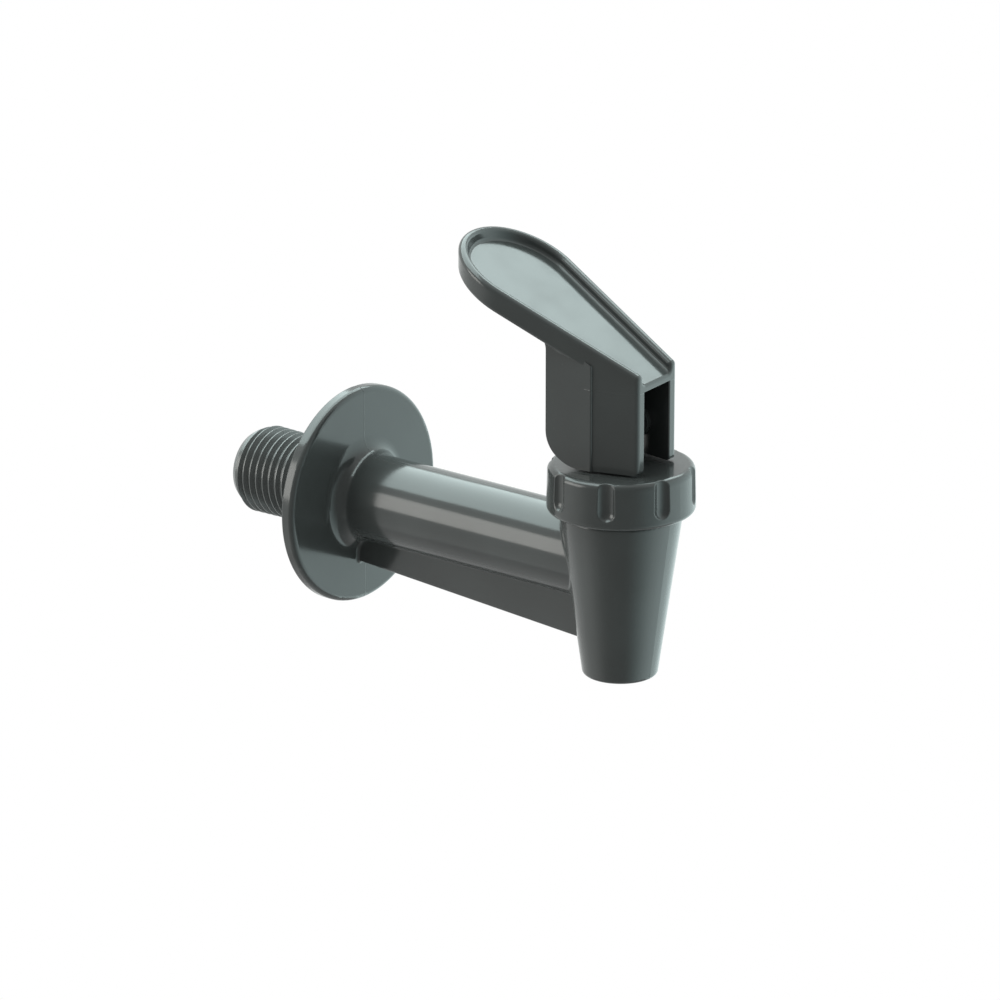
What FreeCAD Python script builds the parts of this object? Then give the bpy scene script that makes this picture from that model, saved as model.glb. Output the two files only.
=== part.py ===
import FreeCAD, Part
import math
import os

os.makedirs("parts", exist_ok=True)

# A self-closing lever tap for a drinks dispenser, in millimetres.
# +X runs out of the dispenser wall along the tube, +Z is up.
# The origin is the centre of the flange's rear sealing face, on the shank axis.

# Threaded shank and wall flange
thread_major_r = 8.0
thread_depth = 0.92
thread_pitch = 1.5
thread_crest_width = 0.19
thread_flank_angle = math.radians(30)
thread_sink = 0.25
thread_crest_clear = 0.03
thread_nose_gap = 0.5
thread_land_gap = 0.25
thread_lead_in = 0.9
shank_length = 23.0
land_length = 3.0
land_chamfer = 0.35
nose_chamfer = 0.6
nose_chamfer_length = 1.0
flange_r = 19.6
flange_thickness = 2.5
flange_front_round = 1.0
flange_rear_round = 0.3
inlet_bore_r = 4.8

# Tube and the gusset web under it
tube_r = 7.7
tube_root_round = 3.0
barrel_x = 60.3
web_thickness = 4.0
web_drop_at_flange = 4.3
web_drop_at_barrel = 7.6
web_edge_round = 0.5
web_root_round = 0.7

# Outlet barrel
spout_z = -20.3
spout_r = 6.5
spout_edge_round = 0.8
shoulder_z = 9.2
shoulder_r = 10.7
shoulder_round = 0.5
outlet_bore_r = 4.4
outlet_chamfer = 0.4
tube_barrel_round = 0.6

# Valve chamber, seat and neck
chamber_r = 7.0
chamber_floor_z = -7.0
seat_height = 1.0
seat_land_width = 1.0
seat_flank_run = 0.5
seat_lip_chamfer = 0.3
neck_r = 9.9
neck_height = 6.2
neck_chamfer = 0.4
chamber_mouth_chamfer = 0.4

# Fluted bonnet
bonnet_fit = 0.05
bonnet_skirt_gap = 0.3
bonnet_r = 12.85
bonnet_draft = 0.2
bonnet_top_z = 17.8
bonnet_plate = 2.0
bonnet_top_round = 1.2
bonnet_skirt_round = 0.9
flute_count = 8
flute_r = 1.9
flute_depth = 0.95
flute_floor_height = 1.6
flute_phase = -18.5
flute_edge_round = 0.3
guide_clearance = 0.06
guide_wall = 0.85
guide_length = 2.9
guide_mouth_chamfer = 0.3

# Stem, cross pin and travel
stem_r = 3.3
stem_top_round = 1.0
stem_top_above_pin = 3.6
bulb_r = 2.75
bulb_neck_r = 1.75
bulb_height = 2.0
bulb_neck_height = 1.1
bulb_taper = 0.6
bulb_clearance = 0.06
pin_r = 1.25
pin_running = 0.05
pin_z = 24.2
tilt_limit = 35.0
lift_per_radian = 3.6

# Seat cup, slip washer and spring
seat_gap = 0.05
cup_base_round = 0.5
cup_floor = 4.5
cup_wall = 0.6
cup_height = 12.9
cup_lip_height = 2.3
cup_lip_land = 0.7
cup_lip_running = 0.05
washer_thickness = 1.0
washer_running = 0.1
washer_cup_gap = 0.15
washer_chamfer = 0.2
spring_wire_r = 0.4
spring_guide_gap = 0.3
spring_turns = 8.0
spring_end_gap = 0.02

# Lever handle
handle_swivel = 6.0
heel_gap = 0.4
fork_front = 7.1
fork_rear = -10.1
fork_step = -0.9
fork_step_height = 0.35
fork_wall = 2.2
fork_rear_wall = 1.8
fork_front_half_width = 6.1
fork_corner_round = 0.9
heel_corner_round = 0.8
heel_rear_arc = 5.4
heel_cam_margin = 3.0
underside_round = 3.0
paddle_slope = 27.2
paddle_front_z = 35.6
paddle_tip_r = 12.0
paddle_tip_distance = 30.5
paddle_depth = 4.3
rim_width = 1.8
rim_round = 0.85
rim_inner_round = 0.7
dish_depth = 1.9
dish_floor_round = 0.7
paddle_under_round = 0.6
step_edge_round = 0.3
fork_mouth_round = 0.3
slot_roof = 1.4
pin_boss_r = 2.9
stem_side_clearance = 0.3
pin_blind_skin = 1.7
pin_far_recess = 0.3
pin_end_clearance = 0.1

V = FreeCAD.Vector
Z_AXIS = V(0, 0, 1)


def point(r, z):
    return V(r, 0, z)


def outline(points):
    """Close a list of points, and of arcs given as (middle, end), into a face."""
    edges = []
    here = points[0]
    for item in points[1:] + [points[0]]:
        if isinstance(item, tuple):
            edges.append(Part.Arc(here, item[0], item[1]).toShape())
            here = item[1]
        elif (item - here).Length > 1e-7:
            edges.append(Part.LineSegment(here, item).toShape())
            here = item
    return Part.Face(Part.Wire(edges))


def corner(before, tip, after, radius):
    """The start, middle and end of the arc that rounds a corner."""
    a = (before - tip).normalize()
    b = (after - tip).normalize()
    half = a.getAngle(b) / 2
    run = radius / math.tan(half)
    centre = tip + (a + b).normalize() * (radius / math.sin(half))
    middle = centre + (tip - centre).normalize() * radius
    return tip + a * run, (middle, tip + b * run)


def revolve_z(face, x):
    return face.revolve(V(0, 0, 0), Z_AXIS, 360).translated(V(x, 0, 0))


def edges_where(shape, test):
    found = []
    for edge in shape.Edges:
        box = edge.BoundBox
        if test(edge, box):
            found.append(edge)
    return found


def tilt_z(face, depth):
    return face.extrude(V(0, 0, -depth))


# Spigot body: shank, flange and tube turned about the shank axis
thread_root_r = thread_major_r - thread_depth
nose_x = -shank_length
nose_r = thread_root_r - nose_chamfer
rim_x = flange_thickness
tube_root_r = tube_r + tube_root_round
front_start, front_arc = corner(V(0, flange_r, 0), V(rim_x, flange_r, 0), V(rim_x, tube_root_r, 0), flange_front_round)
rear_start, rear_arc = corner(V(0, thread_major_r, 0), V(0, flange_r, 0), V(rim_x, flange_r, 0), flange_rear_round)
root_start, root_arc = corner(V(rim_x, flange_r, 0), V(rim_x, tube_r, 0), V(barrel_x, tube_r, 0), tube_root_round)
turned = outline([
    V(nose_x, 0, 0),
    V(nose_x, nose_r, 0),
    V(nose_x + nose_chamfer_length, thread_root_r, 0),
    V(-land_length - land_chamfer, thread_root_r, 0),
    V(-land_length, thread_major_r, 0),
    V(0, thread_major_r, 0),
    rear_start,
    rear_arc,
    front_start,
    front_arc,
    root_start,
    root_arc,
    V(barrel_x, tube_r, 0),
    V(barrel_x, 0, 0),
])
shank_flange_tube = turned.revolve(V(0, 0, 0), V(1, 0, 0), 360)

# Spigot body: V thread on the shank, a ridge swept along its helix and turned down to a lead-in at the nose
thread_foot_r = thread_root_r - thread_sink
thread_crest_r = thread_major_r - thread_crest_clear
crest_half = thread_crest_width / 2
foot_half = crest_half + (thread_crest_r - thread_foot_r) * math.tan(thread_flank_angle)
thread_start = nose_x + nose_chamfer_length
thread_end = -land_length - land_chamfer
helix = Part.makeLongHelix(thread_pitch, thread_end - thread_start, thread_root_r)
ridge_section = Part.makePolygon([
    V(thread_foot_r, 0, -foot_half),
    V(thread_crest_r, 0, -crest_half),
    V(thread_crest_r, 0, crest_half),
    V(thread_foot_r, 0, foot_half),
    V(thread_foot_r, 0, -foot_half),
])
ridge = Part.Wire(helix.Edges).makePipeShell([ridge_section], True, True)
ridge.Placement = FreeCAD.Placement(V(thread_start, 0, 0), FreeCAD.Rotation(V(0, 1, 0), 90))
lead_in_x = thread_start + thread_nose_gap
turned_down = outline([
    V(lead_in_x, 0, 0),
    V(lead_in_x, thread_foot_r, 0),
    V(lead_in_x + thread_lead_in, thread_major_r, 0),
    V(thread_end - thread_land_gap, thread_major_r, 0),
    V(thread_end - thread_land_gap, 0, 0),
]).revolve(V(0, 0, 0), V(1, 0, 0), 360)
thread = ridge.common(turned_down)

# Spigot body: tapered barrel with the threaded neck on top
neck_top_z = shoulder_z + neck_height
spout_start, spout_arc = corner(point(0, spout_z), point(spout_r, spout_z), point(shoulder_r, shoulder_z), spout_edge_round)
shoulder_start, shoulder_arc = corner(
    point(spout_r, spout_z), point(shoulder_r, shoulder_z), point(0, shoulder_z), shoulder_round)
barrel = revolve_z(outline([
    point(0, spout_z),
    spout_start,
    spout_arc,
    shoulder_start,
    shoulder_arc,
    point(neck_r, shoulder_z),
    point(neck_r, neck_top_z - neck_chamfer),
    point(neck_r - neck_chamfer, neck_top_z),
    point(0, neck_top_z),
]), barrel_x)

# Spigot body: gusset web, deeper towards the barrel
web_inside_x = barrel_x - (outlet_bore_r + spout_r) / 2
web_top_z = -(inlet_bore_r + tube_r) / 2
web_flange_z = -tube_r - web_drop_at_flange
web_barrel_z = -tube_r - web_drop_at_barrel
web = Part.Face(Part.makePolygon([
    V(flange_thickness / 2, -web_thickness / 2, web_top_z),
    V(web_inside_x, -web_thickness / 2, web_top_z),
    V(web_inside_x, -web_thickness / 2, web_barrel_z),
    V(flange_thickness / 2, -web_thickness / 2, web_flange_z),
    V(flange_thickness / 2, -web_thickness / 2, web_top_z),
])).extrude(V(0, web_thickness, 0))
web_bottom_edges = edges_where(web, lambda edge, box: box.ZMax < web_flange_z + 0.01 and box.XLength > web_inside_x / 2)
web = web.makeFillet(web_edge_round, web_bottom_edges)

moulding = shank_flange_tube.fuse([barrel, web]).removeSplitter()


def on_barrel_cone(p):
    share = (p.z - spout_z) / (shoulder_z - spout_z)
    cone_r = spout_r + (shoulder_r - spout_r) * share
    return abs(math.hypot(p.x - barrel_x, p.y) - cone_r) < 0.01 and p.x < barrel_x


def on_web(p):
    return abs(p.y) < web_thickness / 2 + 0.01 and p.z < -tube_r / 2


def on_tube(p):
    return abs(math.hypot(p.y, p.z) - tube_r) < 0.01 and p.x > flange_thickness + tube_root_round - 0.01


def on_flange_front(p):
    return abs(p.x - flange_thickness) < 0.01


def joins(*tests):
    """Pick the edges whose middle passes every test."""
    def test(edge, box):
        middle = edge.valueAt((edge.FirstParameter + edge.LastParameter) / 2)
        return all(t(middle) for t in tests)
    return test


web_foot = edges_where(moulding, joins(on_flange_front, on_web))
moulding = moulding.makeFillet(web_root_round, web_foot)
barrel_foot = edges_where(moulding, joins(on_barrel_cone, lambda p: on_tube(p) or on_web(p)))
web_sides = edges_where(moulding, joins(on_tube, on_web))
moulding = moulding.makeFillet(tube_barrel_round, barrel_foot + web_sides)

# Spigot body: valve chamber, raised seat, outlet bore and inlet bore
seat_z = chamber_floor_z + seat_height
seat_inner_r = outlet_bore_r + seat_lip_chamfer
seat_outer_r = seat_inner_r + seat_land_width
chamber = revolve_z(outline([
    point(0, spout_z),
    point(outlet_bore_r + outlet_chamfer, spout_z),
    point(outlet_bore_r, spout_z + outlet_chamfer),
    point(outlet_bore_r, seat_z - seat_lip_chamfer),
    point(seat_inner_r, seat_z),
    point(seat_outer_r, seat_z),
    point(seat_outer_r + seat_flank_run, chamber_floor_z),
    point(chamber_r, chamber_floor_z),
    point(chamber_r, neck_top_z - chamber_mouth_chamfer),
    point(chamber_r + chamber_mouth_chamfer, neck_top_z),
    point(0, neck_top_z),
]), barrel_x)
inlet = Part.makeCylinder(inlet_bore_r, barrel_x - nose_x, V(nose_x, 0, 0), V(1, 0, 0))
spigot_body = moulding.cut(chamber.fuse(inlet)).fuse(thread)

# Bonnet: screw cap with a stem guide and a fluted rim
bonnet_skirt_z = shoulder_z + bonnet_skirt_gap
bonnet_bore_r = neck_r + bonnet_fit
bonnet_under_z = bonnet_top_z - bonnet_plate
bonnet_rim_r = bonnet_r - bonnet_draft
guide_r = stem_r + guide_clearance
guide_outer_r = guide_r + guide_wall
skirt_start, skirt_arc = corner(
    point(bonnet_bore_r, bonnet_skirt_z), point(bonnet_r, bonnet_skirt_z), point(bonnet_rim_r, bonnet_top_z), bonnet_skirt_round)
rim_start, rim_arc = corner(
    point(bonnet_r, bonnet_skirt_z), point(bonnet_rim_r, bonnet_top_z), point(guide_r, bonnet_top_z), bonnet_top_round)
bonnet = revolve_z(outline([
    point(bonnet_bore_r, bonnet_skirt_z),
    skirt_start,
    skirt_arc,
    rim_start,
    rim_arc,
    point(guide_r + guide_mouth_chamfer, bonnet_top_z),
    point(guide_r, bonnet_top_z - guide_mouth_chamfer),
    point(guide_r, bonnet_under_z - guide_length),
    point(guide_outer_r, bonnet_under_z - guide_length),
    point(guide_outer_r, bonnet_under_z),
    point(bonnet_bore_r, bonnet_under_z),
]), 0)
flute_axis_r = bonnet_r - flute_depth + flute_r
flute_reach = math.sqrt(max(flute_r ** 2 - (flute_axis_r - bonnet_r) ** 2, 0.01))
flute_start_z = bonnet_skirt_z + flute_floor_height + flute_reach
flute = Part.makeCylinder(flute_r, bonnet_top_z - flute_start_z + flute_r, point(flute_axis_r, flute_start_z))
flute = flute.fuse(Part.makeSphere(flute_r, point(flute_axis_r, flute_start_z)))
flutes = []
flute_axes = []
for index in range(flute_count):
    turn = flute_phase + index * 360.0 / flute_count
    copy = flute.copy()
    copy.rotate(V(0, 0, 0), Z_AXIS, turn)
    flutes.append(copy)
    flute_axes.append(V(math.cos(math.radians(turn)), math.sin(math.radians(turn)), 0) * flute_axis_r)
bonnet = bonnet.cut(flutes[0].fuse(flutes[1:]))


def on_flute_mouth(edge, box):
    middle = edge.valueAt((edge.FirstParameter + edge.LastParameter) / 2)
    out = math.hypot(middle.x, middle.y)
    if out < bonnet_bore_r + 0.2 or box.ZMax < bonnet_skirt_z + flute_floor_height / 2:
        return False
    nearest = min(math.hypot(middle.x - axis.x, middle.y - axis.y) for axis in flute_axes)
    return abs(nearest - flute_r) < 0.02 or (nearest < flute_r and middle.z < flute_start_z)


flute_mouths = edges_where(bonnet, on_flute_mouth)
bonnet = bonnet.makeFillet(flute_edge_round, flute_mouths)
bonnet.translate(V(barrel_x, 0, 0))

# Seat cup: silicone cup with a sealing base, a flexible wall and a wiping lip
cup_bottom_z = seat_z + seat_gap
cup_floor_z = cup_bottom_z + cup_floor
cup_top_z = cup_bottom_z + cup_height
cup_lip_r = chamber_r - cup_lip_running
spring_inner_r = guide_outer_r + spring_guide_gap
spring_mean_r = spring_inner_r + spring_wire_r
washer_r = spring_mean_r + spring_wire_r
cup_inner_r = washer_r + washer_cup_gap
cup_outer_r = cup_inner_r + cup_wall
bulb_top_z = cup_floor_z - bulb_neck_height
bulb_bottom_z = bulb_top_z - bulb_height
base_start, base_arc = corner(
    point(0, cup_bottom_z), point(cup_outer_r, cup_bottom_z), point(cup_outer_r, cup_top_z), cup_base_round)
neck_hole_r = bulb_neck_r + bulb_clearance
bulb_hole_r = bulb_r + bulb_clearance
seat_cup = revolve_z(outline([
    point(0, cup_bottom_z),
    base_start,
    base_arc,
    point(cup_outer_r, cup_top_z - cup_lip_height),
    point(cup_lip_r, cup_top_z - cup_lip_land),
    point(cup_lip_r, cup_top_z),
    point(cup_lip_r - cup_wall, cup_top_z),
    point(cup_inner_r, cup_top_z - cup_lip_height + cup_lip_land),
    point(cup_inner_r, cup_floor_z),
    point(neck_hole_r, cup_floor_z),
    point(neck_hole_r, bulb_top_z + bulb_clearance),
    point(bulb_hole_r, bulb_top_z + bulb_clearance),
    point(bulb_hole_r, bulb_bottom_z + bulb_taper),
    point(bulb_hole_r - bulb_taper, bulb_bottom_z - bulb_clearance),
    point(0, bulb_bottom_z - bulb_clearance),
]), barrel_x)

# Slip washer: ferrule that keeps the spring off the silicone
washer_z = cup_floor_z
washer_top_z = washer_z + washer_thickness
washer_hole_r = stem_r + washer_running
slip_washer = revolve_z(outline([
    point(washer_hole_r, washer_z),
    point(washer_r - washer_chamfer, washer_z),
    point(washer_r, washer_z + washer_chamfer),
    point(washer_r, washer_top_z - washer_chamfer),
    point(washer_r - washer_chamfer, washer_top_z),
    point(washer_hole_r, washer_top_z),
]), barrel_x)

# Return spring: one round wire coil between the slip washer and the bonnet
spring_low_z = washer_top_z + spring_end_gap + spring_wire_r
spring_high_z = bonnet_under_z - spring_end_gap - spring_wire_r
spring_rise = spring_high_z - spring_low_z
coil = Part.makeHelix(spring_rise / spring_turns, spring_rise, spring_mean_r)
coil_start = V(spring_mean_r, 0, 0)
coil_heading = V(0, 2 * math.pi * spring_mean_r, spring_rise / spring_turns)
wire_section = Part.Wire(Part.makeCircle(spring_wire_r, coil_start, coil_heading))
return_spring = Part.Wire(coil).makePipeShell([wire_section], True, True)
return_spring.translate(V(barrel_x, 0, spring_low_z))

# Valve stem: round rod with a cross hole at the top and a bulb in the seat cup
stem_top_z = pin_z + stem_top_above_pin
stem_start, stem_arc = corner(
    point(stem_r, cup_floor_z), point(stem_r, stem_top_z), point(0, stem_top_z), stem_top_round)
valve_stem = revolve_z(outline([
    point(0, bulb_bottom_z),
    point(bulb_r - bulb_taper, bulb_bottom_z),
    point(bulb_r, bulb_bottom_z + bulb_taper),
    point(bulb_r, bulb_top_z),
    point(bulb_neck_r, bulb_top_z),
    point(bulb_neck_r, cup_floor_z + bulb_clearance),
    point(stem_r, cup_floor_z + bulb_clearance),
    stem_start,
    stem_arc,
    point(0, stem_top_z),
]), 0)
pin_hole_r = pin_r + pin_running
valve_stem = valve_stem.cut(Part.makeCylinder(pin_hole_r, 4 * stem_r, V(0, -2 * stem_r, pin_z), V(0, 1, 0)))

# Lever handle: the heel is an involute about the cross pin, so it lifts the
# stem by the same amount for each degree and never gains or loses its gap.
heel_depth = pin_z - bonnet_top_z - heel_gap


def heel_point(turn):
    reach = heel_depth + lift_per_radian * turn
    xi = -reach * math.sin(turn) - lift_per_radian * math.cos(turn)
    return point(xi, pin_z - reach * math.cos(turn) + lift_per_radian * math.sin(turn))


cam_end = math.radians(tilt_limit + heel_cam_margin)
cam = Part.BSplineCurve()
cam.interpolate([heel_point(cam_end * step / 8.0) for step in range(9)])
cam_start = heel_point(0)
cam_stop = heel_point(cam_end)
rear_arc_r = (cam_stop.x - fork_rear) / (1 - math.sin(cam_end))
rear_arc_centre = point(fork_rear + rear_arc_r, cam_stop.z + rear_arc_r * math.cos(cam_end))
half_turn = (math.pi / 2 + cam_end) / 2
rear_arc_middle = rear_arc_centre + point(-rear_arc_r * math.sin(half_turn), -rear_arc_r * math.cos(half_turn))
rear_arc_top = point(fork_rear, rear_arc_centre.z)

# Lever handle: heights along the sloping paddle, at a distance xi from the pin
slope = math.radians(paddle_slope)


def paddle_top(xi):
    return paddle_front_z + (fork_front - xi) * math.tan(slope)


def paddle_under(xi):
    return paddle_top(xi) - paddle_depth


under_centre_x = fork_rear - underside_round
under_centre = point(under_centre_x, paddle_under(under_centre_x) - underside_round / math.cos(slope))
under_low = point(fork_rear, under_centre.z)
under_high = under_centre + point(math.sin(slope), math.cos(slope)) * underside_round
bend = (math.pi / 2 - slope) / 2
under_middle = under_centre + point(math.cos(bend), math.sin(bend)) * underside_round
inside_paddle = paddle_depth / 3
front_toe_start, front_toe_arc = corner(
    cam_start, point(fork_front, cam_start.z), point(fork_front, paddle_front_z), heel_corner_round)
side_wire = [
    Part.LineSegment(cam_start, front_toe_start).toShape(),
    Part.Arc(front_toe_start, front_toe_arc[0], front_toe_arc[1]).toShape(),
]
ring = [
    front_toe_arc[1],
    point(fork_front, paddle_under(fork_front) + inside_paddle),
    point(under_high.x, paddle_under(under_high.x) + inside_paddle),
    under_high,
]
for start, end in zip(ring, ring[1:]):
    side_wire.append(Part.LineSegment(start, end).toShape())
side_wire.append(Part.Arc(under_high, under_middle, under_low).toShape())
side_wire.append(Part.LineSegment(under_low, rear_arc_top).toShape())
side_wire.append(Part.Arc(rear_arc_top, rear_arc_middle, cam_stop).toShape())
side_wire.append(cam.toShape())
side_face = Part.Face(Part.Wire(Part.__sortEdges__(side_wire)))

# Lever handle: teardrop outline of the paddle, in its own sloping plane
tip_reach = math.hypot(fork_front_half_width, paddle_tip_distance)
taper = math.asin(paddle_tip_r / tip_reach) - math.atan2(fork_front_half_width, paddle_tip_distance)
slope_dir = point(-math.cos(slope), math.sin(slope))
paddle_origin = point(fork_front, paddle_front_z)


def on_paddle(along, across):
    return paddle_origin + slope_dir * along + V(0, across, 0)


def teardrop(inset, front_run):
    """The paddle's outline, inset, with its open end moved forward by front_run."""
    tip_r = paddle_tip_r - inset
    side = tip_r / math.cos(taper) - (paddle_tip_distance + front_run) * math.tan(taper)
    meet_along = paddle_tip_distance - tip_r * math.sin(taper)
    meet_across = tip_r * math.cos(taper)
    return outline([
        on_paddle(-front_run, -side),
        on_paddle(-front_run, side),
        on_paddle(meet_along, meet_across),
        (on_paddle(paddle_tip_distance + tip_r, 0), on_paddle(meet_along, -meet_across)),
    ])


slab = tilt_z(teardrop(0, 0), paddle_depth)
dish = tilt_z(teardrop(rim_width, rim_width), dish_depth)

# Lever handle: plan of the fork, flush with the paddle's tapering sides in front
plan_taper = math.tan(taper) / math.cos(slope)
step_half_width = fork_front_half_width + (fork_front - fork_step) * plan_taper
fork_rear_half_width = step_half_width + fork_step_height
plan_low = bonnet_top_z - heel_depth
plan_high = paddle_top(under_high.x) + paddle_depth
fork_plan = outline([
    V(fork_front, -fork_front_half_width, plan_low),
    V(fork_front, fork_front_half_width, plan_low),
    V(fork_step, step_half_width, plan_low),
    V(fork_step, fork_rear_half_width, plan_low),
    V(2 * fork_rear, fork_rear_half_width, plan_low),
    V(2 * fork_rear, -fork_rear_half_width, plan_low),
    V(fork_step, -fork_rear_half_width, plan_low),
    V(fork_step, -step_half_width, plan_low),
]).extrude(V(0, 0, plan_high - plan_low))
fork = side_face.extrude(V(0, 4 * paddle_tip_r, 0)).translated(V(0, -2 * paddle_tip_r, 0)).common(fork_plan)

# Lever handle: cored-out fork with bosses for the cross pin
roof_drop = dish_depth + slot_roof
boss_gap = stem_r + stem_side_clearance
front_gap = fork_front_half_width - fork_wall
step_gap = step_half_width - fork_wall
rear_gap = fork_rear_half_width - fork_wall
core_rear = fork_rear + fork_rear_wall
core_side = Part.Face(Part.makePolygon([
    point(core_rear, plan_low),
    point(2 * fork_front, plan_low),
    point(2 * fork_front, paddle_top(2 * fork_front) - roof_drop),
    point(core_rear, paddle_top(core_rear) - roof_drop),
    point(core_rear, plan_low),
])).extrude(V(0, 4 * paddle_tip_r, 0)).translated(V(0, -2 * paddle_tip_r, 0))
core_plan = outline([
    V(2 * fork_front, -front_gap, plan_low),
    V(2 * fork_front, front_gap, plan_low),
    V(fork_front, front_gap, plan_low),
    V(fork_step, step_gap, plan_low),
    V(fork_step - fork_step_height, rear_gap, plan_low),
    V(core_rear, rear_gap, plan_low),
    V(core_rear, -rear_gap, plan_low),
    V(fork_step - fork_step_height, -rear_gap, plan_low),
    V(fork_step, -step_gap, plan_low),
    V(fork_front, -front_gap, plan_low),
]).extrude(V(0, 0, plan_high - plan_low))
core = core_side.common(core_plan)
for side in (-1, 1):
    boss = Part.makeCylinder(pin_boss_r, 2 * paddle_tip_r, V(0, side * boss_gap, pin_z), V(0, side, 0))
    core = core.cut(boss)

lever_handle = slab.fuse(fork).removeSplitter()
for side in (-1, 1):
    tip = V(fork_front, side * fork_front_half_width, plan_low)
    along_side = V(fork_step, side * step_half_width, plan_low)
    turn_start, turn_arc = corner(V(fork_front, 0, plan_low), tip, along_side, fork_corner_round)
    trim = outline([tip, turn_start, turn_arc]).extrude(V(0, 0, plan_high - plan_low))
    lever_handle = lever_handle.cut(trim)

# Lever handle: rounded edges, the outside first and the dish after its cut
paddle_normal = point(math.sin(slope), math.cos(slope))
under_depth = paddle_depth * math.cos(slope)
floor_depth = dish_depth * math.cos(slope)


def below_top(p):
    """How far a point lies under the plane of the paddle's top."""
    return -(p - paddle_origin).dot(paddle_normal)


def middle_of(edge):
    return edge.valueAt((edge.FirstParameter + edge.LastParameter) / 2)


def on_step(edge, box):
    middle = middle_of(edge)
    across = abs(abs(middle.y) - fork_rear_half_width)
    return across < 0.01 and abs(middle.x - fork_step) < 0.01 and box.ZLength > fork_wall


def on_paddle_top(edge, box):
    return abs(below_top(middle_of(edge))) < 0.01


def on_paddle_under(edge, box):
    return abs(below_top(middle_of(edge)) - under_depth) < 0.02


for radius, test in (
    (step_edge_round, on_step),
    (rim_round, on_paddle_top),
    (paddle_under_round, on_paddle_under),
):
    lever_handle = lever_handle.makeFillet(radius, edges_where(lever_handle, test))

lever_handle = lever_handle.cut(dish)


def on_dish_floor(edge, box):
    return abs(below_top(middle_of(edge)) - floor_depth) < 0.01 and box.XLength > rim_width


def on_dish_rim(edge, box):
    return on_paddle_top(edge, box) and dish.distToShape(Part.Vertex(middle_of(edge)))[0] < 0.01


def on_fork_mouth(edge, box):
    middle = middle_of(edge)
    return abs(middle.x - fork_front) < 0.01 and abs(middle.y) < front_gap + 0.01 and box.DiagonalLength > fork_front


lever_handle = lever_handle.makeFillet(dish_floor_round, edges_where(lever_handle, on_dish_floor))
lever_handle = lever_handle.makeFillet(rim_inner_round, edges_where(lever_handle, on_dish_rim))
lever_handle = lever_handle.cut(core)
lever_handle = lever_handle.makeFillet(fork_mouth_round, edges_where(lever_handle, on_fork_mouth))

# Cross pin: blind in the near cheek, pressed in from the far side
pin_outer = fork_front_half_width + fork_front * plan_taper
pin_near_end = -(pin_outer - pin_blind_skin)
pin_far_end = pin_outer - pin_far_recess
pin_hole_near = pin_near_end - pin_end_clearance
lever_handle = lever_handle.cut(Part.makeCylinder(pin_r, 2 * paddle_tip_r, V(0, pin_hole_near, pin_z), V(0, 1, 0)))
cross_pin = Part.makeCylinder(pin_r, pin_far_end - pin_near_end, V(0, pin_near_end, pin_z), V(0, 1, 0))

for swivelled in (lever_handle, cross_pin, valve_stem):
    swivelled.rotate(V(0, 0, 0), Z_AXIS, handle_swivel)
    swivelled.translate(V(barrel_x, 0, 0))

nodes = {
    "spigot_body": spigot_body,
    "bonnet": bonnet,
    "lever_handle": lever_handle,
    "cross_pin": cross_pin,
    "valve_stem": valve_stem,
    "seat_cup": seat_cup,
    "slip_washer": slip_washer,
    "return_spring": return_spring,
}
for name, shape in nodes.items():
    print(name, shape.ShapeType, len(shape.Solids), shape.isValid(), round(shape.Volume, 1))
    shape.exportStep("parts/" + name + ".step")
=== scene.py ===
import bmesh
import bpy
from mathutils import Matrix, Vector


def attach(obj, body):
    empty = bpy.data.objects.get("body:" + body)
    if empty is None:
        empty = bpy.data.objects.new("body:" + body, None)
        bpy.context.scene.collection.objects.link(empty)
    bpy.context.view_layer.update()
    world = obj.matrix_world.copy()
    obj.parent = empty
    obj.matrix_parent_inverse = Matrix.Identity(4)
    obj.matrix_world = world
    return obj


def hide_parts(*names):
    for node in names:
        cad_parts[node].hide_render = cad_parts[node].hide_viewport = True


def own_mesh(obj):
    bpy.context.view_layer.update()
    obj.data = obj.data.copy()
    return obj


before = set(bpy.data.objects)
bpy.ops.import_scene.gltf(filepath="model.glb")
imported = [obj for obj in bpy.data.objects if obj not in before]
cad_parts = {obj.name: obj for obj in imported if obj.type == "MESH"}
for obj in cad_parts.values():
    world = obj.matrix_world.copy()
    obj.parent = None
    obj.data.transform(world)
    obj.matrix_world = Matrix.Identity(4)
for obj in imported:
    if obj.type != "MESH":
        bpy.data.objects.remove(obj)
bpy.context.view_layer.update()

scene = bpy.context.scene
scene.view_settings.view_transform = "Standard"

# The camera.
# A long lens at a metre looks down a little on the near side of the tap, with the shank
# to the left and the outlet to the right.
camera_place = Vector((0.66104, -0.76665, 0.33592))
camera_aim = Vector((0.03353, 0.0, 0.00539))
camera_lens = bpy.data.cameras.new("tap_camera")
camera_lens.sensor_width = 36
camera_lens.lens = 216
camera_lens.clip_start = 0.05
camera_lens.clip_end = 30
camera = bpy.data.objects.new("tap_camera", camera_lens)
scene.collection.objects.link(camera)
camera.location = camera_place
camera.rotation_euler = (camera_aim - camera_place).to_track_quat("-Z", "Y").to_euler()
scene.camera = camera

# The studio floor.
# A sheet of matt white board, far enough under the tap for its shadow to fall out of the
# picture. The camera sees it as white paper, and gloss sees it dimmer towards the camera.
floor_height = -0.45
floor_half_width = 0.4
board_white = (0.9, 0.9, 0.9, 1)
board_far = 0.6
board_near = 0.25
board_fade_start = -0.1
board_fade_end = 0.3
camera_side = (0.634, -0.773, 0.0)


def add_node(tree, kind, values=None, **settings):
    """Makes one node with its settings, and puts the values on its own sockets."""
    node = tree.nodes.new(kind)
    for setting, value in settings.items():
        setattr(node, setting, value)
    for socket, value in (values or {}).items():
        node.inputs[socket].default_value = value
    return node


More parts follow.
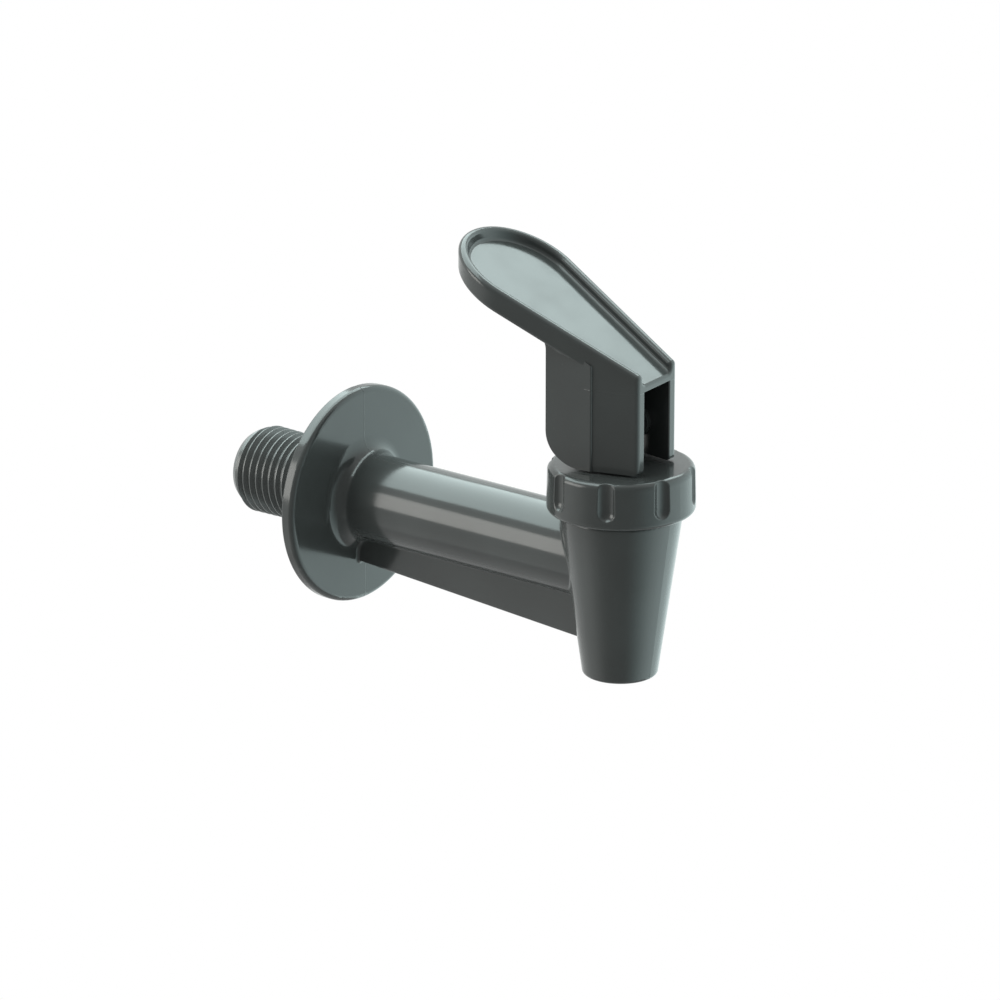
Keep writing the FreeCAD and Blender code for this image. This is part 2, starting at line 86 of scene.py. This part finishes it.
def math_node(tree, operation, first, second=None, third=None):
    """Makes a maths node from numbers and sockets, and gives its result."""
    node = add_node(tree, "ShaderNodeMath", operation=operation)
    for socket, value in zip(node.inputs, (first, second, third)):
        if value is None:
            continue
        if isinstance(value, (int, float)):
            socket.default_value = value
        else:
            tree.links.new(value, socket)
    return node.outputs[0]


def link_all(tree, pairs):
    for source, target in pairs:
        tree.links.new(source, target)


floor_board = bpy.data.materials.new("white_board")
floor_board.use_nodes = True
tree = floor_board.node_tree
tree.nodes.clear()
board_matt = add_node(tree, "ShaderNodeBsdfDiffuse", {"Color": board_white})
board_glow = add_node(tree, "ShaderNodeEmission", {"Color": (1, 1, 1, 1)})
board_path = add_node(tree, "ShaderNodeLightPath")
board_place = add_node(tree, "ShaderNodeTexCoord")
board_nearness = add_node(tree, "ShaderNodeVectorMath", {1: camera_side}, operation="DOT_PRODUCT")
board_fade = add_node(
    tree,
    "ShaderNodeMapRange",
    {
        "From Min": board_fade_start,
        "From Max": board_fade_end,
        "To Min": board_far,
        "To Max": board_near,
    },
    interpolation_type="SMOOTHSTEP",
)
board_seen = math_node(
    tree, "MAXIMUM", board_path.outputs["Is Camera Ray"], board_path.outputs["Is Transmission Ray"]
)
board_mix = add_node(tree, "ShaderNodeMixShader")
board_out = add_node(tree, "ShaderNodeOutputMaterial")
link_all(tree, [
    (board_place.outputs["Object"], board_nearness.inputs[0]),
    (board_nearness.outputs["Value"], board_fade.inputs["Value"]),
    (math_node(tree, "MAXIMUM", board_seen, board_fade.outputs["Result"]), board_glow.inputs["Strength"]),
    (math_node(tree, "MAXIMUM", board_seen, board_path.outputs["Is Glossy Ray"]), board_mix.inputs[0]),
    (board_matt.outputs[0], board_mix.inputs[1]),
    (board_glow.outputs[0], board_mix.inputs[2]),
    (board_mix.outputs[0], board_out.inputs["Surface"]),
])

floor_mesh = bpy.data.meshes.new("floor")
bm = bmesh.new()
bmesh.ops.create_grid(bm, x_segments=1, y_segments=1, size=floor_half_width)
bmesh.ops.translate(bm, verts=bm.verts, vec=(0, 0, floor_height))
bm.to_mesh(floor_mesh)
bm.free()
floor_mesh.materials.append(floor_board)
floor = bpy.data.objects.new("floor", floor_mesh)
scene.collection.objects.link(floor)

# The room.
# The camera sees white past the floor. Everything else sees a pale room, dark behind the
# camera, with a broad cool window light low on the right.
room_colour = (0.97, 1.0, 0.99, 1)
room_dim = 0.32
room_bright = 0.95
room_fade_start = 0.1
room_fade_end = 0.75
window_colour = (0.70, 1.0, 1.0, 1)
window_bright = 1.1
window_edge = 0.1
window_towards = Vector((0.62, 0.74, -0.25)).normalized()

world = bpy.data.worlds.new("room")
scene.world = world
world.use_nodes = True
tree = world.node_tree
tree.nodes.clear()
room_direction = add_node(tree, "ShaderNodeTexCoord")
room_dot = add_node(tree, "ShaderNodeVectorMath", {1: camera_side}, operation="DOT_PRODUCT")
room_level = add_node(
    tree,
    "ShaderNodeMapRange",
    {
        "From Min": room_fade_start,
        "From Max": room_fade_end,
        "To Min": room_bright,
        "To Max": room_dim,
    },
    interpolation_type="SMOOTHSTEP",
)
room_light = add_node(tree, "ShaderNodeBackground", {"Color": room_colour})
window_dot = add_node(tree, "ShaderNodeVectorMath", {1: window_towards}, operation="DOT_PRODUCT")
window_level = add_node(
    tree,
    "ShaderNodeMapRange",
    {"From Min": window_edge, "To Max": window_bright},
    interpolation_type="SMOOTHSTEP",
)
window_light = add_node(tree, "ShaderNodeBackground", {"Color": window_colour})
room_sum = add_node(tree, "ShaderNodeAddShader")
room_white = add_node(tree, "ShaderNodeBackground", {"Color": (1, 1, 1, 1), "Strength": 1.0})
room_path = add_node(tree, "ShaderNodeLightPath")
room_mix = add_node(tree, "ShaderNodeMixShader")
room_out = add_node(tree, "ShaderNodeOutputWorld")
link_all(tree, [
    (room_direction.outputs["Generated"], room_dot.inputs[0]),
    (room_direction.outputs["Generated"], window_dot.inputs[0]),
    (room_dot.outputs["Value"], room_level.inputs["Value"]),
    (window_dot.outputs["Value"], window_level.inputs["Value"]),
    (room_level.outputs["Result"], room_light.inputs["Strength"]),
    (window_level.outputs["Result"], window_light.inputs["Strength"]),
    (room_light.outputs[0], room_sum.inputs[0]),
    (window_light.outputs[0], room_sum.inputs[1]),
    (room_path.outputs["Is Camera Ray"], room_mix.inputs[0]),
    (room_sum.outputs[0], room_mix.inputs[1]),
    (room_white.outputs[0], room_mix.inputs[2]),
    (room_mix.outputs[0], room_out.inputs["Surface"]),
])

# The softboxes.
# A large one overhead lies in the gloss of the dish and along the top of the tube. An upright
# one to the left gives the tube its second band. Each has a name, a place, the point that it
# faces, a width, a height, a power in watts and a colour.
softboxes = [
    ("overhead_softbox", (-0.50, 0.30, 0.80), (-0.50, 0.30, 0.0), 1.0, 1.65, 22.0, (0.82, 1.0, 0.99)),
    ("left_softbox", (-0.52, -0.68, 0.20), (0.03, 0.0, 0.0), 0.55, 0.46, 2.9, (1.0, 0.99, 0.94)),
]
for name, place, aim, wide, high, power, colour in softboxes:
    lamp = bpy.data.lights.new(name, "AREA")
    lamp.shape = "RECTANGLE"
    lamp.size = wide
    lamp.size_y = high
    lamp.energy = power
    lamp.color = colour
    softbox = bpy.data.objects.new(name, lamp)
    scene.collection.objects.link(softbox)
    softbox.location = place
    softbox.rotation_euler = (Vector(place) - Vector(aim)).to_track_quat("Z", "Y").to_euler()
    softbox.visible_camera = False

# The spigot body.
# One injection moulding of glass-smooth dark grey plastic: shank, wall flange, tube, web and
# outlet barrel. The two halves of its mould met on the middle plane and left a faint line.
body_line_end = 0.046
shank_satin_and_painted_light_end = -0.0034
shank_satin_rough = 0.1
# Painted light: the shank's colour is paler than the body's and stands in for the light that the shank
# catches.
shank_painted_light_colour = (0.100, 0.103, 0.101, 1)
flange_rim_start = 0.0189
rim_line_gain = 3.0
speck_radius = 0.045
speck_strength = 0.1
speck_colour = (0.16, 0.165, 0.16, 1)
rubbed_most = 0.045
peel_share = 0.012
line_rise = 0.22
line_half_width = 0.00009
polished_bump = 1.0
polished_depth = 0.00012


def group_with(name, inputs, outputs):
    """Makes a node group with these sockets, and gives it with its input and output nodes."""
    group = bpy.data.node_groups.new(name, "ShaderNodeTree")
    for socket_name, kind, value in inputs:
        socket = group.interface.new_socket(socket_name, in_out="INPUT", socket_type=kind)
        if value is not None:
            socket.default_value = value
    for socket_name, kind in outputs:
        group.interface.new_socket(socket_name, in_out="OUTPUT", socket_type=kind)
    return group, group.nodes.new("NodeGroupInput"), group.nodes.new("NodeGroupOutput")


# Moulded skin: a slow colour drift, the shallow waves of a cooled wall, fine orange peel,
# a few dust specks and rubbed patches where the gloss is duller.
skin, skin_in, skin_out = group_with(
    "moulded_skin",
    [
        ("Colour", "NodeSocketColor", (0.06, 0.066, 0.067, 1)),
        ("Paler", "NodeSocketColor", (0.07, 0.078, 0.079, 1)),
        ("Gloss", "NodeSocketFloat", 0.16),
    ],
    [("Colour", "NodeSocketColor"), ("Roughness", "NodeSocketFloat"), ("Height", "NodeSocketFloat")],
)
skin_place = add_node(skin, "ShaderNodeTexCoord")
drift = add_node(skin, "ShaderNodeTexNoise", {"Scale": 70, "Detail": 3})
waves = add_node(skin, "ShaderNodeTexNoise", {"Scale": 55, "Detail": 1})
peel = add_node(skin, "ShaderNodeTexNoise", {"Scale": 900, "Detail": 2})
specks = add_node(skin, "ShaderNodeTexVoronoi", {"Scale": 420})
rubbed = add_node(skin, "ShaderNodeTexNoise", {"Scale": 160, "Detail": 5})
for texture in (drift, waves, peel, specks, rubbed):
    skin.links.new(skin_place.outputs["Object"], texture.inputs["Vector"])
drift_share = add_node(skin, "ShaderNodeMapRange", {"From Min": 0.35, "From Max": 0.65})
drift_mix = add_node(skin, "ShaderNodeMix", data_type="RGBA")
speck_mask = math_node(skin, "LESS_THAN", specks.outputs["Distance"], speck_radius)
speck_mix = add_node(skin, "ShaderNodeMix", {"B": speck_colour}, data_type="RGBA")
rub_share = add_node(skin, "ShaderNodeMapRange", {"From Min": 0.45, "From Max": 0.75, "To Max": rubbed_most})
link_all(skin, [
    (drift.outputs["Fac"], drift_share.inputs["Value"]),
    (drift_share.outputs["Result"], drift_mix.inputs["Factor"]),
    (skin_in.outputs["Colour"], drift_mix.inputs["A"]),
    (skin_in.outputs["Paler"], drift_mix.inputs["B"]),
    (math_node(skin, "MULTIPLY", speck_mask, speck_strength), speck_mix.inputs["Factor"]),
    (drift_mix.outputs["Result"], speck_mix.inputs["A"]),
    (speck_mix.outputs["Result"], skin_out.inputs["Colour"]),
    (rubbed.outputs["Fac"], rub_share.inputs["Value"]),
])
skin_rough = math_node(skin, "ADD", skin_in.outputs["Gloss"], rub_share.outputs["Result"])
skin_height = math_node(skin, "MULTIPLY_ADD", peel.outputs["Fac"], peel_share, waves.outputs["Fac"])
link_all(skin, [
    (skin_rough, skin_out.inputs["Roughness"]),
    (skin_height, skin_out.inputs["Height"]),
])

# Mould line: a hair-thin raised line where the distance from a mould plane is nought.
mould_line, line_in, line_out = group_with(
    "mould_line",
    [("Distance", "NodeSocketFloat", 0.0), ("Half width", "NodeSocketFloat", line_half_width)],
    [("Mask", "NodeSocketFloat")],
)
line_away = math_node(mould_line, "ABSOLUTE", line_in.outputs["Distance"])
line_scaled = math_node(mould_line, "DIVIDE", line_away, line_in.outputs["Half width"])
line_fade = add_node(
    mould_line, "ShaderNodeMapRange", {"To Min": 1, "To Max": 0}, interpolation_type="SMOOTHSTEP"
)
link_all(mould_line, [
    (line_scaled, line_fade.inputs["Value"]),
    (line_fade.outputs["Result"], line_out.inputs["Mask"]),
])


def new_material(name):
    material = bpy.data.materials.new(name)
    material.use_nodes = True
    return material, material.node_tree, material.node_tree.nodes["Principled BSDF"]


def moulding(name, colour, paler, gloss, bump_strength, bump_depth, line_mask=None):
    """Moulded plastic or rubber. line_mask gives the mould line's mask in the material's tree."""
    material, tree, shader = new_material(name)
    surface = add_node(
        tree,
        "ShaderNodeGroup",
        {"Colour": (*colour, 1), "Paler": (*paler, 1), "Gloss": gloss},
        node_tree=skin,
    )
    height = surface.outputs["Height"]
    if line_mask:
        height = math_node(tree, "MULTIPLY_ADD", line_mask(tree), line_rise, height)
    bump = add_node(tree, "ShaderNodeBump", {"Strength": bump_strength, "Distance": bump_depth})
    link_all(tree, [
        (surface.outputs["Colour"], shader.inputs["Base Color"]),
        (surface.outputs["Roughness"], shader.inputs["Roughness"]),
        (height, bump.inputs["Height"]),
        (bump.outputs["Normal"], shader.inputs["Normal"]),
    ])
    return material


def place_parts(tree):
    """Where a point lies on the part, as the whole place and as its X, Y and Z."""
    place = add_node(tree, "ShaderNodeTexCoord")
    parts = add_node(tree, "ShaderNodeSeparateXYZ")
    tree.links.new(place.outputs["Object"], parts.inputs[0])
    return place.outputs["Object"], parts.outputs


def body_lines(tree):
    """The mould's middle plane. It shows on the shank, flange and tube, most on the flange's rim."""
    place, parts = place_parts(tree)
    from_shank = add_node(tree, "ShaderNodeVectorMath", {1: (0, 1, 1)}, operation="MULTIPLY")
    out_of_shank = add_node(tree, "ShaderNodeVectorMath", operation="LENGTH")
    line = add_node(tree, "ShaderNodeGroup", node_tree=mould_line)
    link_all(tree, [
        (place, from_shank.inputs[0]),
        (from_shank.outputs["Vector"], out_of_shank.inputs[0]),
        (parts["Y"], line.inputs["Distance"]),
    ])
    before_barrel = math_node(tree, "LESS_THAN", parts["X"], body_line_end)
    on_rim = math_node(tree, "GREATER_THAN", out_of_shank.outputs["Value"], flange_rim_start)
    strength = math_node(tree, "MULTIPLY_ADD", on_rim, rim_line_gain, before_barrel)
    return math_node(tree, "MULTIPLY", line.outputs["Mask"], strength)


def dress(node, material):
    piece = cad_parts[node]
    piece.data.materials.clear()
    piece.data.materials.append(material)


body_plastic = moulding(
    "grey_moulding_body",
    (0.043, 0.045, 0.044),
    (0.049, 0.052, 0.051),
    0.13,
    polished_bump,
    polished_depth,
    body_lines,
)

# The threaded shank is satin and a little rougher. Its colour is painted paler, as painted light for the
# light that it catches from the front left.
tree = body_plastic.node_tree
shader = tree.nodes["Principled BSDF"]
skin_colour = shader.inputs["Base Color"].links[0].from_socket
skin_roughness = shader.inputs["Roughness"].links[0].from_socket
place, parts = place_parts(tree)
on_shank = math_node(tree, "LESS_THAN", parts["X"], shank_satin_and_painted_light_end)
satin_rough = math_node(tree, "MULTIPLY_ADD", on_shank, shank_satin_rough, skin_roughness)
# Painted light: the shank is painted paler here.
shank_painted_light_mix = add_node(tree, "ShaderNodeMix", {"B": shank_painted_light_colour}, data_type="RGBA")
link_all(tree, [
    (on_shank, shank_painted_light_mix.inputs["Factor"]),
    (skin_colour, shank_painted_light_mix.inputs["A"]),
    (shank_painted_light_mix.outputs["Result"], shader.inputs["Base Color"]),
    (satin_rough, shader.inputs["Roughness"]),
])
dress("spigot_body", body_plastic)

# The bonnet.
# A fluted screw cap of the same grey plastic, moulded by itself and screwed down on the
# neck. It has a slightly duller skin from handling.
dress("bonnet", moulding(
    "grey_moulding_bonnet",
    (0.042, 0.044, 0.043),
    (0.049, 0.052, 0.051),
    0.17,
    polished_bump,
    polished_depth,
))

# The lever handle.
# A cored moulding of the same grey plastic with a polished dish. Its mould parted level across
# the front cheeks of the fork, and left a faint line there.
fork_line_level = 0.0326
fork_line_front = 0.0588


def lever_line(tree):
    place, parts = place_parts(tree)
    line = add_node(tree, "ShaderNodeGroup", node_tree=mould_line)
    tree.links.new(math_node(tree, "SUBTRACT", parts["Z"], fork_line_level), line.inputs["Distance"])
    forward = math_node(tree, "GREATER_THAN", parts["X"], fork_line_front)
    return math_node(tree, "MULTIPLY", line.outputs["Mask"], forward)


dress("lever_handle", moulding(
    "grey_moulding_lever",
    (0.042, 0.044, 0.043),
    (0.047, 0.050, 0.049),
    0.15,
    polished_bump,
    polished_depth,
    lever_line,
))

# The cross pin.
# A drawn stainless rod, cut to length and pressed into the far cheek of the fork. Drawing
# leaves fine lines along it.
line_spread = (9000, 400, 9000)
pin_dull = (0.30, 0.30, 0.29, 1)
pin_bright = (0.44, 0.44, 0.43, 1)

pin_steel, tree, shader = new_material("stainless_pin")
shader.inputs["Metallic"].default_value = 1.0
place = add_node(tree, "ShaderNodeTexCoord")
stretch = add_node(tree, "ShaderNodeMapping", {"Scale": line_spread})
draw_lines = add_node(tree, "ShaderNodeTexNoise", {"Scale": 1.0, "Detail": 4})
pin_tint = add_node(tree, "ShaderNodeMix", {"A": pin_dull, "B": pin_bright}, data_type="RGBA")
pin_rough = add_node(tree, "ShaderNodeMapRange", {"To Min": 0.28, "To Max": 0.48})
pin_bump = add_node(tree, "ShaderNodeBump", {"Strength": 0.5, "Distance": 0.00001})
link_all(tree, [
    (place.outputs["Object"], stretch.inputs["Vector"]),
    (stretch.outputs["Vector"], draw_lines.inputs["Vector"]),
    (draw_lines.outputs["Fac"], pin_tint.inputs["Factor"]),
    (pin_tint.outputs["Result"], shader.inputs["Base Color"]),
    (draw_lines.outputs["Fac"], pin_rough.inputs["Value"]),
    (pin_rough.outputs["Result"], shader.inputs["Roughness"]),
    (draw_lines.outputs["Fac"], pin_bump.inputs["Height"]),
    (pin_bump.outputs["Normal"], shader.inputs["Normal"]),
])
dress("cross_pin", pin_steel)

# The valve stem and the slip washer.
# Plain mouldings that run on each other, so their skins are satin and not polished. The
# stem is near black, and the washer is a natural white low-friction plastic.
plain_bump = 0.6
plain_depth = 0.00008

dress("valve_stem", moulding(
    "stem_plastic", (0.020, 0.022, 0.023), (0.027, 0.029, 0.030), 0.38, plain_bump, plain_depth
))
dress("slip_washer", moulding(
    "washer_plastic", (0.66, 0.66, 0.63), (0.74, 0.74, 0.72), 0.42, plain_bump, plain_depth
))

# The seat cup.
# Moulded silicone, milky and a little translucent, with the matt bloom that the rubber
# keeps from its mould.
cup_rubber = moulding("silicone", (0.60, 0.60, 0.57), (0.70, 0.70, 0.68), 0.5, 0.7, 0.0001)
shader = cup_rubber.node_tree.nodes["Principled BSDF"]
shader.inputs["Subsurface Weight"].default_value = 0.35
shader.inputs["Subsurface Scale"].default_value = 0.0012
shader.inputs["IOR"].default_value = 1.42
dress("seat_cup", cup_rubber)

# The return spring.
# Coiled from drawn stainless wire, bright where it was drawn and a little browned by the
# heat that sets a spring.
wire_bright = (0.60, 0.60, 0.58, 1)
wire_browned = (0.50, 0.46, 0.40, 1)

spring_wire, tree, shader = new_material("spring_steel")
shader.inputs["Metallic"].default_value = 1.0
place = add_node(tree, "ShaderNodeTexCoord")
heat = add_node(tree, "ShaderNodeTexNoise", {"Scale": 300, "Detail": 3})
wire_tint = add_node(tree, "ShaderNodeMix", {"A": wire_bright, "B": wire_browned}, data_type="RGBA")
wire_rough = add_node(tree, "ShaderNodeMapRange", {"To Min": 0.2, "To Max": 0.4})
link_all(tree, [
    (place.outputs["Object"], heat.inputs["Vector"]),
    (heat.outputs["Fac"], wire_tint.inputs["Factor"]),
    (wire_tint.outputs["Result"], shader.inputs["Base Color"]),
    (heat.outputs["Fac"], wire_rough.inputs["Value"]),
    (wire_rough.outputs["Result"], shader.inputs["Roughness"]),
])
coil_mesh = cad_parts["return_spring"].data.copy()
bm = bmesh.new()
bm.from_mesh(coil_mesh)
bmesh.ops.remove_doubles(bm, verts=bm.verts, dist=1e-7)
bmesh.ops.recalc_face_normals(bm, faces=bm.faces)
bm.to_mesh(coil_mesh)
bm.free()
coil_mesh.materials.clear()
coil_mesh.materials.append(spring_wire)
spring_coil = bpy.data.objects.new("spring_coil", coil_mesh)
scene.collection.objects.link(spring_coil)
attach(spring_coil, "tap")
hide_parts("return_spring")
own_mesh(spring_coil)
